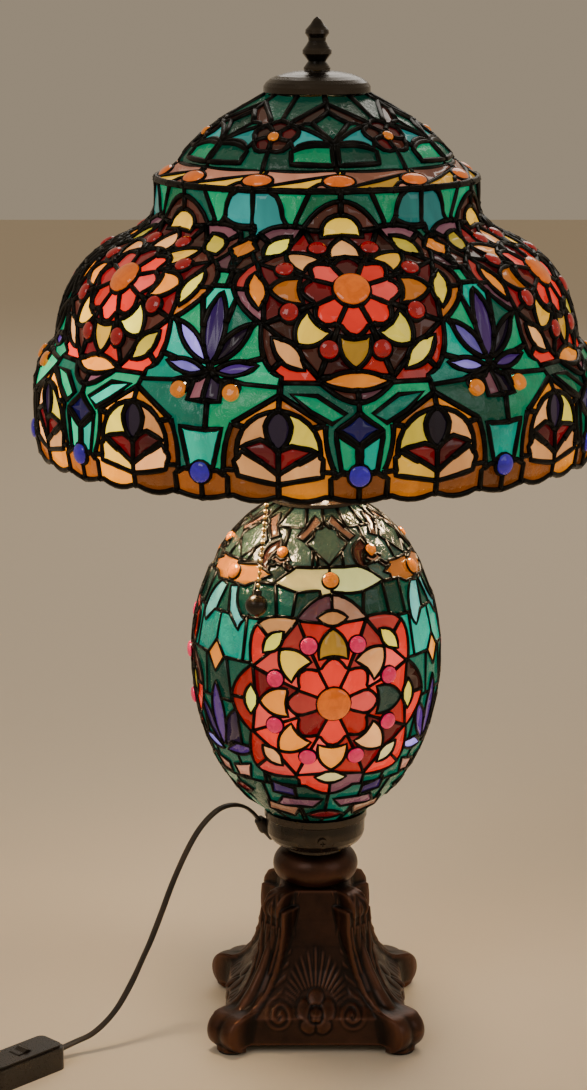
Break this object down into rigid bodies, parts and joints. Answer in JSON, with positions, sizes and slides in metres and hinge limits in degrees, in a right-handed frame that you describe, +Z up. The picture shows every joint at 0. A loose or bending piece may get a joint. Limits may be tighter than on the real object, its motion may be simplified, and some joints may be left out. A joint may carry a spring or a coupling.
{
  "type": "leaded glass table lamp",
  "caption": "Table lamp with a domed leaded glass shade over a lit glass egg on a square cast base, with pull chains, a finial and a cord switch.",
  "frame": {"origin": "on the resting surface, under the centre pipe", "axes": "+Z up along the pipe, -Y towards the front, +X to the right seen from the front"},
  "size_m": [0.5554, 0.4108, 0.7528],
  "materials": {
    "bronze": "antiqued cast bronze finish, rubbed to copper on the high edges",
    "dark_bronze": "near-black bronze, satin gloss",
    "felt": "dark wool felt",
    "steel": "zinc plated",
    "brass": "aged brass",
    "leaded_glass": "opalescent art glass pieces joined by dark patinated solder",
    "amber_jewel": "pressed amber glass jewel",
    "ruby_jewel": "pressed ruby glass jewel",
    "blue_jewel": "pressed cobalt glass jewel",
    "bulb_glass": "frosted lamp glass, warm",
    "wire": "insulated wire",
    "cord_vinyl": "brown vinyl, satin",
    "switch_plastic": "dark brown moulded plastic",
    "blade_brass": "bright brass"
  },
  "bodies": {
    "stand": {"foot_pads": "felt", "base_casting": "bronze", "base_washer": "steel", "base_nut": "steel", "lamp_pipe": "brass", "neck_cushion": "bronze", "fitter_cup": "dark_bronze", "fitter_nut": "brass", "fitter_screws": "dark_bronze", "cord_bushing": "switch_plastic", "egg_shell": "leaded_glass", "egg_rosette_centres": "amber_jewel", "egg_ruby_jewels": "ruby_jewel", "egg_belt_jewels": "amber_jewel", "egg_crown_jewels": "amber_jewel", "egg_top_cap": "dark_bronze", "egg_lock_nut": "brass", "egg_socket": "brass", "egg_bulb": "bulb_glass", "inner_wires": "wire", "cluster_body": "dark_bronze", "socket_caps": "brass", "socket_shells": "brass", "left_bulb": "bulb_glass", "right_bulb": "bulb_glass", "chain_spouts": "brass", "shade_riser": "brass", "shade_rest": "brass", "power_cord": "cord_vinyl", "switch_base": "switch_plastic", "switch_cover": "switch_plastic", "switch_screws": "steel", "cord_tail": "cord_vinyl", "cord_coil": "cord_vinyl", "coil_tie": "wire", "plug_lead": "cord_vinyl", "plug_body": "switch_plastic", "plug_blades": "blade_brass"},
    "left_pull": {"left_pull_chain": "brass", "left_pull_ball": "dark_bronze"},
    "right_pull": {"right_pull_chain": "brass", "right_pull_ball": "dark_bronze"},
    "rocker": {"switch_rocker": "switch_plastic"},
    "cap": {"vase_cap": "dark_bronze"},
    "finial": {"finial": "dark_bronze"},
    "shade": {"shade_top_ring": "brass", "shade_crown": "leaded_glass", "shade_belt": "leaded_glass", "shade_neck": "leaded_glass", "shade_dome": "leaded_glass", "shade_skirt": "leaded_glass", "shade_crown_jewels": "amber_jewel", "shade_belt_jewels": "blue_jewel", "shade_rosette_centres": "amber_jewel", "shade_ruby_jewels": "ruby_jewel", "shade_bud_jewels": "amber_jewel", "shade_rim_jewels": "blue_jewel"}
  },
  "joints": [
    {"name": "left_pull_slide", "type": "slide", "parent": "stand", "child": "left_pull", "axis": [-0.099, -0.2545, -0.962], "range_m": [0, 0.012], "stiffness_N_per_m": 300, "springref_m": -0.003},
    {"name": "right_pull_slide", "type": "slide", "parent": "stand", "child": "right_pull", "axis": [0.099, 0.2545, -0.962], "range_m": [0, 0.012], "stiffness_N_per_m": 300, "springref_m": -0.003},
    {"name": "switch_rock", "type": "hinge", "parent": "stand", "child": "rocker", "pos_m": [-0.215, -0.108, 0.0135], "axis": [-0.7193, 0.6947, 0], "range_deg": [0, 24]},
    {"name": "shade_lift", "type": "slide", "parent": "stand", "child": "cap", "axis": [0, 0, 1], "range_m": [0, 0.28]},
    {"name": "shade_turn", "type": "hinge", "parent": "cap", "child": "shade", "pos_m": [0, 0, 0.7], "axis": [0, 0, 1], "continuous": true},
    {"name": "finial_turn", "type": "hinge", "parent": "cap", "child": "finial", "pos_m": [0, 0, 0.73], "axis": [0, 0, 1], "continuous": true}
  ]
}
